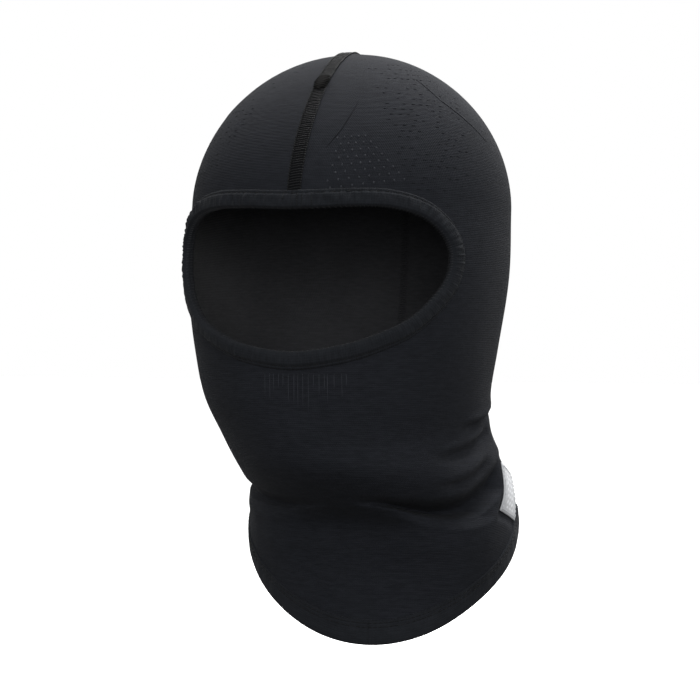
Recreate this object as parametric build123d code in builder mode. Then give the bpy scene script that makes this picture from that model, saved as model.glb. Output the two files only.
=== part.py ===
from build123d import *

import os
from math import cos, hypot, pi, radians, sin

# Knit balaclava hood, in millimetres. +Z is up, the face looks along -Y and the wearer's
# left is +X. The origin is the middle of the head cavity, at its widest ring.

# The dome above the widest ring.
CROWN_Z = 89.0  # highest point of the outside of the cloth
RING_Z = 10.0  # level of the widest ring
RING_HALF_WIDTH = 81.0
RING_CENTRE_Y = -2.0
RING_FRONT_Y = -92.5
RING_BACK_Y = 97.0
RING_SQUARENESS = 2.15  # 2 is an ellipse, more is squarer
CROWN_Y = -6.0
SIDE_POWER = 2.02  # roundness of the dome seen from the front
FRONT_POWER = 1.52  # roundness of the forehead seen from the side
BACK_POWER = 1.80  # roundness of the back of the head seen from the side
DOME_STEPS = 9

# The hood from the widest ring down: level, half width, centre y, front y, back y,
# squareness, how much the chin narrows, sideways shift and turn of the neck in degrees.
LEVELS = (
    (RING_Z, RING_HALF_WIDTH, RING_CENTRE_Y, RING_FRONT_Y, RING_BACK_Y, RING_SQUARENESS, 0.0, 0.0, 0.0),
    (-25.0, 80.0, -8.0, -96.0, 95.0, 2.30, 0.0, 0.0, 0.0),
    (-65.0, 75.5, -12.0, -97.0, 85.0, 2.25, 0.05, 0.0, 0.0),
    (-90.0, 72.0, -8.0, -97.0, 77.0, 2.10, 0.10, 0.0, 0.0),
    (-107.0, 69.5, 5.0, -95.0, 76.0, 2.00, 0.12, 1.0, 2.0),
    (-123.0, 69.5, 22.0, -89.0, 83.0, 2.05, 0.06, 3.5, 6.0),
    (-137.0, 70.0, 32.0, -68.0, 92.0, 2.05, 0.0, 5.5, 9.0),
    (-149.0, 71.0, 38.0, -47.0, 98.0, 2.00, 0.0, 6.0, 11.0),
    (-165.0, 72.0, 39.0, -43.0, 100.0, 2.00, 0.0, 6.0, 11.0),
    (-190.0, 73.0, 40.0, -45.0, 103.0, 2.00, 0.0, 6.0, 11.0),
    (-220.0, 75.0, 40.0, -50.0, 106.0, 2.00, 0.0, 6.0, 11.0),
)
SECTION_POINTS = 16  # points round each section

# Cloth and thread.
CLOTH = 1.4  # thickness of the knit
GAP = 0.15  # clearance between neighbouring pieces
THREAD = 0.5  # thickness of a row of stitches
STITCH_ROW = 0.9  # width of a single row of stitches

# Face binding: a strip folded over an elastic and over the panel's edge.
BINDING_WIDTH = 9.0
BINDING_OUTSIDE = 2.4  # how far the rolled binding stands off the outside of the cloth
BINDING_INSIDE = 1.2  # how far it stands off the inside
BINDING_PANEL_EDGE = 4.5  # from the binding's free edge to the panel's edge within it
BINDING_ROW = 7.2  # from the free edge to the row of stitches that holds the strip
OVERLOCK_ROW = (5.0, 8.0)  # from the free edge to the two sides of the inside stitching
ELASTIC_EDGE = 0.9  # from the free edge to the elastic
ELASTIC_WIDTH = 3.0
SIDE_SHARE = 0.5  # how much narrower the binding looks from the front at the temples
LAP = (2.5, 9.5)  # x of the two ends of the strip, where they lap at the forehead

# Half of the face opening's free edge, (x, z), from the forehead down to the chin side.
OPENING = (
    (0.0, 3.5),
    (27.0, 4.2),
    (43.5, 3.8),
    (57.0, -0.4),
    (65.5, -9.0),
    (68.3, -20.0),
    (65.2, -33.0),
    (54.5, -47.0),
    (41.0, -55.0),
    (24.0, -60.8),
    (0.0, -64.0),
)

# Hem: it drops like a bib in front, and a little at the back of the neck.
NECK_X = 6.0
NECK_Y = 39.0
NECK_TURN = 11.0
HEM_SIDE_Z = -161.0
HEM_FRONT_DROP = 50.0
HEM_BACK_DROP = 6.0
HEM_FRONT_REACH = 86.0
HEM_BACK_REACH = 64.0
HEM_POWER = 1.25
HEM_LINE = (-120, -80, -40, 0, 20, 45, 70, 95, 150)  # distances before the neck's middle
HEM_BAND_WIDTH = 12.0
HEM_BAND_THICK = 0.9  # each side of the cloth
HEM_PANEL_EDGE = 1.2  # from the band's fold to the panel's edge within it
HEM_ROWS = (8.6, 10.6)  # heights of the two needle rows above the fold

# Seam over the crown and down the middle of the back.
SEAM_WIDTH = 6.5
SEAM_SLIT = 0.4  # the panel's two edges butt along this line
LOOPER_WIDTH = 4.5
BARTACK_Y = (-58.0, -47.0)
BARTACK_WIDTH = 8.0

# Woven label on the wearer's left, above the hem.
LABEL_Y = 30.0
LABEL_Z = -140.0
LABEL_WIDTH = 24.5
LABEL_HEIGHT = 28.0
LABEL_TILT = -16.0
LABEL_THICK = 0.6
LABEL_STITCH_INSET = 1.2

FAR = 300.0  # longer than the hood, for cuts that go right through


def section_points(level, grow):
    """Points round one section of the hood, moved out by grow."""
    z, half_width, centre_y, front_y, back_y, power, narrow, shift, turn = level
    half_width = half_width + grow
    points = []
    for i in range(SECTION_POINTS):
        angle = 2 * pi * i / SECTION_POINTS
        side = abs(sin(angle)) ** (2 / power) * (1 if sin(angle) > 0 else -1)
        ahead = abs(cos(angle)) ** (2 / power)
        if cos(angle) > 0:
            x = half_width * side * (1 - narrow * cos(angle) ** 2)
            y = -ahead * (centre_y - front_y + grow)
        else:
            x = half_width * side
            y = ahead * (back_y - centre_y + grow)
        c, s = cos(radians(turn)), sin(radians(turn))
        points.append((shift + x * c - y * s, centre_y + x * s + y * c))
    return points


def dome_level(step, grow):
    """The section at that share of the dome's height."""
    side = (1 - step**SIDE_POWER) ** (1 / SIDE_POWER)
    ahead = (1 - step**FRONT_POWER) ** (1 / FRONT_POWER)
    behind = (1 - step**BACK_POWER) ** (1 / BACK_POWER)
    return (
        RING_Z + step * (CROWN_Z + grow - RING_Z),
        (RING_HALF_WIDTH + grow) * side - grow,
        CROWN_Y + (RING_CENTRE_Y - CROWN_Y) * side,
        CROWN_Y + (RING_FRONT_Y - grow - CROWN_Y) * ahead + grow,
        CROWN_Y + (RING_BACK_Y + grow - CROWN_Y) * behind - grow,
        RING_SQUARENESS + (2 - RING_SQUARENESS) * step,
        0.0,
        0.0,
        0.0,
    )


def hood_solid(grow):
    """The whole filled shape of the hood, moved out by grow all round."""
    steps = [sin(pi / 2 * i / DOME_STEPS) for i in range(1, DOME_STEPS)]
    levels = [dome_level(step, grow) for step in reversed(steps)] + list(LEVELS)
    with BuildPart() as solid:
        for level in levels:
            with BuildSketch(Plane.XY.offset(level[0])):
                with BuildLine():
                    Spline(*section_points(level, grow), periodic=True)
                make_face()
        loft(ruled=True)
    return solid.part


def skin(outside, inside):
    """The closed skin between two offsets of the hood."""
    return hood_solid(outside) - hood_solid(inside)


def opening_points(margin):
    """The face opening's outline, moved into the cloth by margin."""
    moved = []
    for i, (x, z) in enumerate(OPENING):
        before = OPENING[i - 1] if i > 0 else (-OPENING[1][0], OPENING[1][1])
        last = i == len(OPENING) - 1
        after = (-OPENING[-2][0], OPENING[-2][1]) if last else OPENING[i + 1]
        along_x, along_z = after[0] - before[0], after[1] - before[1]
        length = hypot(along_x, along_z)
        out_x, out_z = -along_z / length, along_x / length
        moved.append((x + margin * SIDE_SHARE * out_x, z + margin * out_z))
    return moved


def opening_prism(margin):
    """The face opening as a prism that runs forward out of the hood."""
    half = opening_points(margin)
    with BuildPart() as prism:
        with BuildSketch(Plane.XZ):
            with BuildLine():
                Spline(*half, tangents=[(1, 0), (-1, 0)])
                mirror(about=Plane.YZ)
            make_face()
        extrude(amount=FAR)
    return prism.part


def hem_height(forward):
    """The hem's level at that distance in front of the neck's middle."""
    if forward > 0:
        return HEM_SIDE_Z - HEM_FRONT_DROP * (forward / HEM_FRONT_REACH) ** HEM_POWER
    return HEM_SIDE_Z - HEM_BACK_DROP * (-forward / HEM_BACK_REACH) ** HEM_POWER


def above_hem(height):
    """Everything higher than that height above the hem's fold."""
    turn = radians(NECK_TURN)
    side = Plane((NECK_X, NECK_Y, 0), x_dir=(sin(turn), -cos(turn), 0), z_dir=(-cos(turn), -sin(turn), 0))
    with BuildPart() as block:
        with BuildSketch(side):
            with BuildLine():
                edge = Spline(*[(d, hem_height(d) + height) for d in HEM_LINE])
                Polyline(edge @ 1, (HEM_LINE[-1], FAR), (HEM_LINE[0], FAR), edge @ 0)
            make_face()
        extrude(amount=FAR, both=True)
    return block.part


def hem_zone(low, high):
    """The zone between two heights above the hem's fold."""
    return above_hem(low) - above_hem(high)


def opening_zone(near, far):
    """The ring between two distances from the face opening's free edge."""
    return opening_prism(far) - opening_prism(near)


def seam_prism(width):
    """A band of that width over the crown and down the middle of the back."""
    back_line = [(level[7] - (level[4] - level[2]) * sin(radians(level[8])), level[0]) for level in LEVELS]
    with BuildPart() as band:
        with BuildSketch(Plane.XZ):
            with BuildLine():
                left = Spline(*[(x - width / 2, z) for x, z in back_line])
                right = Spline(*[(x + width / 2, z) for x, z in back_line])
                Line(left @ 0, right @ 0)
                Line(left @ 1, right @ 1)
            make_face()
        extrude(amount=-FAR)
        with BuildSketch(Plane.XY.offset(LEVELS[0][0])):
            Rectangle(width, FAR)
        extrude(amount=FAR)
    return band.part - opening_prism(BINDING_WIDTH + 1)


def label_block(width, height):
    """A tilted rectangle that runs out sideways from the wearer's left."""
    side = Plane((NECK_X, LABEL_Y, LABEL_Z), x_dir=(0, 1, 0), z_dir=(1, 0, 0)).rotated((0, 0, LABEL_TILT))
    with BuildPart() as block:
        with BuildSketch(side):
            Rectangle(width, height)
        extrude(amount=FAR)
    return block.part


def export(built, name):
    """Labels a finished piece and writes its file."""
    built.part.label = name
    export_step(built.part, f"parts/{name}.step")


os.makedirs("parts", exist_ok=True)

# One panel of knit, folded at the middle of the throat. Its edges butt at the seam.
with BuildPart() as hood_panel:
    add(skin(0, -CLOTH))
    add(opening_prism(BINDING_PANEL_EDGE), mode=Mode.SUBTRACT)
    add(above_hem(HEM_PANEL_EDGE), mode=Mode.INTERSECT)
    add(seam_prism(SEAM_SLIT), mode=Mode.SUBTRACT)
export(hood_panel, "hood_panel")

# The flatlock seam: a ladder of cover thread outside, and the looper threads inside.
above_hem_band = above_hem(HEM_BAND_WIDTH + 1)
with BuildPart() as seam_cover_thread:
    add(skin(GAP + THREAD, GAP))
    add(seam_prism(SEAM_WIDTH), mode=Mode.INTERSECT)
    add(above_hem_band, mode=Mode.INTERSECT)
export(seam_cover_thread, "seam_cover_thread")

with BuildPart() as seam_looper_thread:
    add(skin(-CLOTH - GAP, -CLOTH - GAP - THREAD))
    add(seam_prism(LOOPER_WIDTH), mode=Mode.INTERSECT)
    add(above_hem_band, mode=Mode.INTERSECT)
export(seam_looper_thread, "seam_looper_thread")

with BuildPart() as crown_bartack:
    add(skin(2 * GAP + 2 * THREAD, 2 * GAP + THREAD))
    with BuildSketch(Plane.XY):
        with Locations((0, sum(BARTACK_Y) / 2)):
            Rectangle(BARTACK_WIDTH, BARTACK_Y[1] - BARTACK_Y[0])
    extrude(amount=FAR, mode=Mode.INTERSECT)
export(crown_bartack, "crown_bartack")

# The face opening: elastic, the strip folded over it, and the threads through both.
with BuildPart() as face_elastic:
    add(skin(0, -CLOTH))
    add(opening_zone(ELASTIC_EDGE, ELASTIC_EDGE + ELASTIC_WIDTH), mode=Mode.INTERSECT)
export(face_elastic, "face_elastic")

with BuildPart() as face_binding:
    add(skin(BINDING_OUTSIDE, -CLOTH - BINDING_INSIDE))
    add(opening_zone(0, BINDING_WIDTH), mode=Mode.INTERSECT)
    add(skin(GAP, -CLOTH - GAP) - opening_prism(ELASTIC_EDGE - GAP), mode=Mode.SUBTRACT)
export(face_binding, "face_binding")

binding_top = BINDING_OUTSIDE + GAP
with BuildPart() as binding_needle_thread:
    add(skin(binding_top + THREAD, binding_top))
    add(opening_zone(BINDING_ROW, BINDING_ROW + STITCH_ROW), mode=Mode.INTERSECT)
export(binding_needle_thread, "binding_needle_thread")

binding_under = -CLOTH - BINDING_INSIDE - GAP
with BuildPart() as binding_overlock_thread:
    add(skin(binding_under, binding_under - THREAD))
    add(opening_zone(*OVERLOCK_ROW), mode=Mode.INTERSECT)
export(binding_overlock_thread, "binding_overlock_thread")

with BuildPart() as binding_lap_stitches:
    add(skin(binding_top + THREAD, binding_top))
    add(opening_zone(1, BINDING_ROW - 0.5), mode=Mode.INTERSECT)
    with BuildSketch(Plane.XY):
        with Locations(*[(x, -RING_BACK_Y) for x in LAP]):
            Rectangle(STITCH_ROW, RING_BACK_Y)
    extrude(amount=FAR, mode=Mode.INTERSECT)
export(binding_lap_stitches, "binding_lap_stitches")

# The hem: a strip folded over the panel's lower edge, and its coverstitch.
with BuildPart() as neck_hem_band:
    add(skin(HEM_BAND_THICK, -CLOTH - HEM_BAND_THICK))
    add(hem_zone(0, HEM_BAND_WIDTH), mode=Mode.INTERSECT)
    add(skin(GAP, -CLOTH - GAP) & above_hem(HEM_PANEL_EDGE - GAP), mode=Mode.SUBTRACT)
export(neck_hem_band, "neck_hem_band")

hem_top = HEM_BAND_THICK + GAP
with BuildPart() as hem_needle_thread:
    add(skin(hem_top + THREAD, hem_top))
    add(Part() + [hem_zone(row, row + STITCH_ROW) for row in HEM_ROWS], mode=Mode.INTERSECT)
export(hem_needle_thread, "hem_needle_thread")

hem_under = -CLOTH - HEM_BAND_THICK - GAP
with BuildPart() as hem_looper_thread:
    add(skin(hem_under, hem_under - THREAD))
    add(hem_zone(HEM_ROWS[0], HEM_ROWS[1] + STITCH_ROW), mode=Mode.INTERSECT)
export(hem_looper_thread, "hem_looper_thread")

# The label and the thread round its edge.
with BuildPart() as side_label:
    add(skin(GAP + LABEL_THICK, GAP))
    add(label_block(LABEL_WIDTH, LABEL_HEIGHT), mode=Mode.INTERSECT)
export(side_label, "side_label")

inset = 2 * LABEL_STITCH_INSET
label_top = 2 * GAP + LABEL_THICK
with BuildPart() as label_thread:
    add(skin(label_top + THREAD, label_top))
    add(label_block(LABEL_WIDTH - inset, LABEL_HEIGHT - inset), mode=Mode.INTERSECT)
    add(label_block(LABEL_WIDTH - inset - 1, LABEL_HEIGHT - inset - 1), mode=Mode.SUBTRACT)
export(label_thread, "label_thread")
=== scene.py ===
import math

import bpy
import numpy as np
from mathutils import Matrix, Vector


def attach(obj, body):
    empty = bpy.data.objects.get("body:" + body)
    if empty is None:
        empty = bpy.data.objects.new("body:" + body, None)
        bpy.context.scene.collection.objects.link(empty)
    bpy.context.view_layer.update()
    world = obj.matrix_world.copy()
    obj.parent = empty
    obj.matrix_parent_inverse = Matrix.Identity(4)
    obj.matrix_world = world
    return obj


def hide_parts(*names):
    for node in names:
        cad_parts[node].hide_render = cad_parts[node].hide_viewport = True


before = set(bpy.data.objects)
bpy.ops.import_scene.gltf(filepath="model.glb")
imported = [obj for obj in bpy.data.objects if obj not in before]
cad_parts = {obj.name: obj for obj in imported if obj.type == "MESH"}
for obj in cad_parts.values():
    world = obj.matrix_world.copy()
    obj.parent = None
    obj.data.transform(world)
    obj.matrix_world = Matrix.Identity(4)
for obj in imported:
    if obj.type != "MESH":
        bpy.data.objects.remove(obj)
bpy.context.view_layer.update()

MM = 0.001  # the shape below is worked out in millimetres and made in metres
TURN = 2 * math.pi
RNG = np.random.default_rng(7)

# ---------------------------------------------------------------- shape of the hood
# The crown is a dome over a ring; below the ring the cloth hangs along LEVELS.
CROWN_Z, CROWN_Y, RING_Z = 89.0, -6.0, 10.0
SIDE_POWER, FRONT_POWER, BACK_POWER = 2.02, 1.52, 1.80  # roundness of the dome each way
MERIDIAN = 85.0  # radius that turns height over the ring into distance along the cloth
APEX = MERIDIAN * math.pi / 2
LEVELS = np.array((
    # z, half width, centre y, front y, back y, squareness, chin narrowing, shift, turn
    (10, 81.0, -2, -92.5, 97, 2.15, 0, 0, 0),
    (-25, 80.0, -8, -96, 95, 2.30, 0, 0, 0),
    (-65, 75.5, -12, -97, 85, 2.25, 0.05, 0, 0),
    (-90, 72.0, -8, -97, 77, 2.10, 0.10, 0, 0),
    (-107, 69.5, 5, -95, 76, 2.00, 0.12, 1.0, 2),
    (-123, 69.5, 22, -89, 83, 2.05, 0.06, 3.5, 6),
    (-137, 70.0, 32, -68, 92, 2.05, 0, 5.5, 9),
    (-149, 71.0, 38, -47, 98, 2.00, 0, 6.0, 11),
    (-165, 72.0, 39, -43, 100, 2.00, 0, 6.0, 11),
    (-190, 73.0, 40, -45, 103, 2.00, 0, 6.0, 11),
    (-220, 75.0, 40, -50, 106, 2.00, 0, 6.0, 11),
), float)
CENTRE_Y, BACK_Y, SHIFT_X, NECK_TURN = 2, 4, 7, 8  # columns of LEVELS
CLOTH = 1.4  # thickness
ANGLE_STEP, CLOTH_STEP, POLE_GAP = 0.004, 0.4, 0.8  # for working out which way the cloth faces

# The face opening's free edge, (x, z). The wearer's right side lies a little fuller than the left.
OPENING = ((0, 3.5), (27, 4.2), (43.5, 3.8), (57, -0.4), (65.5, -9), (68.3, -20), (65.2, -33),
           (54.5, -47), (41, -55), (24, -60.8), (0, -64),
           (-24, -60.8), (-41, -55), (-54.5, -47.2), (-65, -34), (-69.3, -19), (-67, -6.5),
           (-58.5, 1.8), (-44, 5.0), (-27, 4.8))
OPENING_MIDDLE_Z = -30.0
SIDE_SHARE = 0.5  # a margin at the side of the opening looks this much narrower from the front
PANEL_EDGE = 4.5  # how far inside the binding the panel ends
BINDING_WIDTH, BINDING_OUTSIDE, BINDING_INSIDE = 9.0, 2.9, 1.3

HEM_SIDE_Z, HEM_FRONT_DROP, HEM_BACK_DROP, HEM_POWER = -161.0, 50.0, 6.0, 1.25
HEM_BAND = 12.0
SEAM_HALF = 3.5
LABEL_Y, LABEL_Z, LABEL_WIDTH, LABEL_HEIGHT = 28.8, -140.1, 24.5, 25.2
LABEL_TILT, LABEL_LEAN = math.radians(-19.0), math.radians(-27.0)  # of its ends and of its sides
LABEL_SIDE_X, LABEL_HOLD = 20, (1.05, 1.55)  # it is on the left; where its hold begins to go

# The drape where the chin part meets the neck part: angle, height, depth of the hollow above it,
# the lip that stands out below it, and how far up the hollow reaches.
CREASE = np.array((
    (-180, -130, 0.0, 0.0, 8), (-120, -130, 0.4, 0.2, 10), (-90, -137, 2.0, 1.0, 12),
    (-75, -140.2, 3.4, 2.2, 12), (-56, -143.5, 4.8, 5.6, 11), (-44, -144.5, 5.2, 6.4, 10),
    (-34, -144.5, 4.2, 5.2, 9), (-24, -143, 2.2, 2.6, 8), (-12, -140.5, 0.8, 0.8, 8),
    (-2, -139.5, 0.6, 0.6, 7), (6, -140, 4.4, 2.6, 6), (12, -141.5, 9.0, 5.6, 7.5),
    (20, -145, 12.5, 7.6, 9.5), (30, -148, 13.5, 8.2, 11), (38, -148.5, 13.5, 7.6, 12),
    (48, -147.5, 12.5, 6.0, 13), (60, -143, 10.5, 3.2, 13), (76, -136.5, 7.0, 1.6, 12),
    (92, -129.5, 3.4, 0.8, 11), (115, -125, 1.2, 0.2, 9), (180, -130, 0.0, 0.0, 8)), float)
LIP_DROP, LIP_ABOVE, LIP_BELOW = 6.5, 5.2, 22.0  # where the lip is fullest, and its spread
HOLLOW_EDGE, HOLLOW_FADE = (-0.8, 1.4), (0.16, 1.05)  # how it starts, and ends by its reach
# Wrinkles: angle and height of each end, width, depth.
WRINKLES = (
    (72, -103, 108, -94, 1.7, 3.4), (52, -117, 92, -104.5, 2.0, 3.8),
    (42, -132, 76, -121, 2.2, 3.2), (110, -97, 160, -90, 4.2, 1.8),
    (118, -113, 176, -106, 4.4, 2.2), (128, -132, 190, -124, 4.6, 1.8),
    (-96, -92, -150, -97, 4.2, 1.8), (-88, -110, -160, -113, 4.4, 2.0),
    (-100, -130, -168, -128, 4.2, 1.6), (-70, -118, -98, -104, 3.4, 1.2),
    (196, -148, 150, -150, 5.0, 1.2),
)
DEGREE = 1.25  # millimetres of cloth to a degree of angle, about
OVERLAP, OVERLAP_REACH = 0.5, (2.8, 4.6)  # the panel's two edges lie over each other at the seam


def hermite(z, column):
    """A column of LEVELS at heights z, on a smooth curve through its values."""
    x, y = LEVELS[::-1, 0], LEVELS[::-1, column]
    steep = np.gradient(y, x)
    i = np.clip(np.searchsorted(x, z) - 1, 0, len(x) - 2)
    gap = x[i + 1] - x[i]
    t = np.clip((z - x[i]) / gap, 0, 1)
    a, b = steep[i] * gap, steep[i + 1] * gap
    return ((2 * t**3 - 3 * t**2 + 1) * y[i] + (t**3 - 2 * t**2 + t) * a
            + (3 * t**2 - 2 * t**3) * y[i + 1] + (t**3 - t**2) * b)


def height_of(m):
    """Height of a point m along the cloth above the ring, or below it where m is negative."""
    over = RING_Z + (CROWN_Z - RING_Z) * np.sin(np.clip(m, 0, APEX) / MERIDIAN)
    return np.where(m > 0, over, RING_Z + m)


def along_of(z):
    """The m of a height z."""
    share = np.clip((z - RING_Z) / (CROWN_Z - RING_Z), 0, 1)
    return np.where(z > RING_Z, MERIDIAN * np.arcsin(share), z - RING_Z)


def smooth_shape(theta, m):
    """The hood with no folds. theta is 0 at the face and positive towards the wearer's left."""
    theta, m = np.broadcast_arrays(np.asarray(theta, float), np.asarray(m, float))
    z = height_of(m)
    t = np.clip((z - RING_Z) / (CROWN_Z - RING_Z), 0, 1)
    low = np.minimum(z, RING_Z)
    half, middle, front, back, square, narrow, shift, turn = (hermite(low, k) for k in range(1, 9))
    side = (1 - t**SIDE_POWER) ** (1 / SIDE_POWER)
    ahead = (1 - t**FRONT_POWER) ** (1 / FRONT_POWER)
    behind = (1 - t**BACK_POWER) ** (1 / BACK_POWER)
    half = half * side
    front = CROWN_Y + (front - CROWN_Y) * ahead
    back = CROWN_Y + (back - CROWN_Y) * behind
    middle = CROWN_Y + (middle - CROWN_Y) * side
    square = square + (2 - square) * t
    s, c = np.sin(theta), np.cos(theta)
    across = np.sign(s) * np.abs(s) ** (2 / square)
    out = np.abs(c) ** (2 / square)
    x = half * across * (1 - np.where(c > 0, narrow * c * c, 0))
    y = np.where(c > 0, -out * (middle - front), out * (back - middle))
    a = np.radians(turn)
    turned = shift + x * np.cos(a) - y * np.sin(a), middle + x * np.sin(a) + y * np.cos(a), z
    return np.stack(turned, -1)


def unit(vectors):
    """The vectors made one long."""
    return vectors / np.maximum(np.linalg.norm(vectors, axis=-1, keepdims=True), 1e-9)


def normals(shape, theta, m):
    """Outward unit normals of a shape(theta, m)."""
    m = np.minimum(m, APEX - POLE_GAP)
    along = shape(theta + ANGLE_STEP, m) - shape(theta - ANGLE_STEP, m)
    up = shape(theta, m + CLOTH_STEP) - shape(theta, m - CLOTH_STEP)
    return unit(np.cross(along, up))


def bump(x, wide):
    """A smooth hump, 1 at 0."""
    return np.exp(-(x / wide) ** 2)


def smoothstep(x, low, high):
    """A smooth rise from 0 at low to 1 at high."""
    t = np.clip((x - low) / (high - low), 0, 1)
    return t * t * (3 - 2 * t)


def degrees_round(theta):
    """An angle in degrees, from -180 to 180."""
    return (np.degrees(theta) + 180) % 360 - 180


def crease_row(theta, column):
    """A column of CREASE at an angle."""
    return np.interp(degrees_round(theta), CREASE[:, 0], CREASE[:, column])


def stiffened(theta, m):
    """1 where the sewn label holds the cloth flat, 0 away from it."""
    place = smooth_shape(theta, m)
    y, z = place[..., 1] - LABEL_Y, place[..., 2] - LABEL_Z
    c, s, lean = math.cos(LABEL_TILT), math.sin(LABEL_TILT), math.sin(LABEL_LEAN)
    skew = c * c + s * lean
    across, up = np.abs(y * c + z * lean) / skew, np.abs(z * c - y * s) / skew
    away = np.maximum(across * 2 / LABEL_WIDTH, up * 2 / LABEL_HEIGHT)
    return np.where(place[..., 0] > LABEL_SIDE_X, 1 - smoothstep(away, *LABEL_HOLD), 0)


def drape(theta, m):
    """How far the cloth hangs out or is tucked in, level with the floor, where chin meets neck."""
    line, deep, lip, reach = (crease_row(theta, k) for k in (1, 2, 3, 4))
    over = height_of(m) - line
    hollow = smoothstep(over, *HOLLOW_EDGE) * (1 - smoothstep(over / reach, *HOLLOW_FADE))
    spread = np.where(over > -LIP_DROP, LIP_ABOVE, LIP_BELOW)
    out = -deep * hollow + lip * bump(over + LIP_DROP, spread)
    return out * (1 - stiffened(theta, m))


def wrinkle(angle, z, a0, z0, a1, z1, wide, depth):
    """One wrinkle from (a0, z0) to (a1, z1): a valley, steeper above, with a low ridge over it."""
    px, pz = ((angle - a0 + 180) % 360 - 180) * DEGREE, z - z0
    dx, dz = (a1 - a0) * DEGREE, z1 - z0
    long = math.hypot(dx, dz)
    t = (px * dx + pz * dz) / long**2
    off = (-px * dz + pz * dx) / long + 2.2 * np.sin(t * 3.0)
    ends = smoothstep(t, -0.15, 0.25) * (1 - smoothstep(t, 0.75, 1.15))
    valley = -bump(off, np.where(off > 0, 0.9 * wide, 1.6 * wide))
    return ends * depth * (valley + 0.35 * bump(off - 1.9 * wide, wide * 1.1))


def folds(theta, m):
    """How far the cloth stands off its smooth shape."""
    theta, m = np.broadcast_arrays(np.asarray(theta, float), np.asarray(m, float))
    angle = degrees_round(theta)
    z = height_of(m)
    out = np.zeros(z.shape)
    for row in WRINKLES:
        out = out + wrinkle(angle, z, *row)
    # the soft waviness of a stretched knit, and a little more where it hangs free
    loose = smoothstep(-z, 100, 170)
    slow = np.sin(3 * theta + z / 23) * np.sin(z / 31 + 1.3 * np.cos(theta))
    out = out + (0.25 + 0.9 * loose) * slow
    out = out + 0.7 * loose * np.sin(5 * theta + 0.6) * smoothstep(-z, 165, 215)
    out = out * (1 - stiffened(theta, m))
    x = smooth_shape(theta, m)[..., 0]
    sewn = (np.cos(theta) < 0) | (z > 5)
    lapped = 1 - smoothstep(np.abs(x - seam_x(z, theta)), *OVERLAP_REACH)
    return out + OVERLAP * np.where(sewn, lapped, 0)


def seam_x(z, theta):
    """Where the middle of the seam lies: it goes with the neck's turn at the back."""
    low = np.minimum(z, RING_Z)
    length = hermite(low, BACK_Y) - hermite(low, CENTRE_Y)
    behind = hermite(low, SHIFT_X) - length * np.sin(np.radians(hermite(low, NECK_TURN)))
    return np.where((np.cos(theta) < 0) & (z < RING_Z), behind, 0)


def cloth(theta, m):
    """The outside of the worn cloth."""
    n = normals(smooth_shape, theta, m)
    level = n * (1, 1, 0)  # it fades out at the apex, where there is no level way out
    level /= np.maximum(np.linalg.norm(level, axis=-1, keepdims=True), 0.05)
    folded = smooth_shape(theta, m) + n * folds(theta, m)[..., None]
    return folded + level * drape(theta, m)[..., None]


def on_cloth(theta, m, out=0.0):
    """A point out millimetres off the outside of the cloth, and its normal."""
    theta, m = np.broadcast_arrays(np.asarray(theta, float), np.asarray(m, float))
    n = normals(cloth, theta, m)
    return cloth(theta, m) + n * np.asarray(out)[..., None], n


def paths_on_cloth(theta, m, out=0.0, inward=False):
    """Paths for tubes, one for each row of theta and m."""
    shape = np.broadcast_shapes(np.shape(theta), np.shape(m))
    point, n = on_cloth(theta, m, np.broadcast_to(out, shape))
    return list(zip(point, -n if inward else n))


def half_girth(angle, m):
    """Distance round the cloth from the middle of the throat, as if the panel lay flat."""
    steps, heights = np.linspace(0, math.pi, 91), np.linspace(-240, APEX - 0.5, 120)
    ring = smooth_shape(steps[None, :], heights[:, None])
    pace = np.linalg.norm(np.diff(ring, axis=1), axis=2)
    table = np.concatenate([np.zeros((len(heights), 1)), np.cumsum(pace, 1)], 1)

    def look_up(a, h):
        i = np.clip((h - heights[0]) / (heights[1] - heights[0]), 0, len(heights) - 1.001)
        j = np.clip(a / steps[1], 0, len(steps) - 1.001)
        p, q, f, g = i.astype(int), j.astype(int), i % 1, j % 1
        return ((table[p, q] * (1 - g) + table[p, q + 1] * g) * (1 - f)
                + (table[p + 1, q] * (1 - g) + table[p + 1, q + 1] * g) * f)
    side = np.full(np.shape(angle), math.pi / 2)
    return look_up(side, np.minimum(m, 0)) + look_up(angle, m) - look_up(side, m)


def hem_m(theta, up=0.0):
    """The m of a line that height above the hem's fold."""
    c = np.cos(theta)
    drop = np.where(c > 0, HEM_FRONT_DROP, HEM_BACK_DROP) * np.abs(c) ** HEM_POWER
    return HEM_SIDE_Z - drop + up - RING_Z


def opening_curve(margin, count=360):
    """The face opening's outline seen from the front, moved into the cloth by margin."""
    ring = np.array(OPENING, float)
    n = len(ring)
    t = np.arange(count) * n / count
    i = np.floor(t).astype(int)
    f = (t - i)[:, None]
    p0, p1, p2, p3 = (ring[(i + k) % n] for k in (-1, 0, 1, 2))
    p = 0.5 * (2 * p1 + (p2 - p0) * f + (2 * p0 - 5 * p1 + 4 * p2 - p3) * f**2
               + (3 * p1 - p0 - 3 * p2 + p3) * f**3)
    along = unit(np.roll(p, -1, 0) - np.roll(p, 1, 0))  # clockwise as seen from the front
    return p + margin * np.stack([-along[:, 1] * SIDE_SHARE, along[:, 0]], 1)


def theta_of(x, z, low=-100, high=100, axis=0):
    """The angle of the point of the smooth hood with that x (or y, with axis 1) and z."""
    angles = np.radians(np.linspace(low, high, 401))
    grid = smooth_shape(angles[None, :], along_of(np.ravel(z))[:, None])[..., axis]
    found = [np.interp(v, row, angles) if row[-1] > row[0]
             else np.interp(v, row[::-1], angles[::-1]) for v, row in zip(np.ravel(x), grid)]
    return np.array(found).reshape(np.shape(x))


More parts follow.
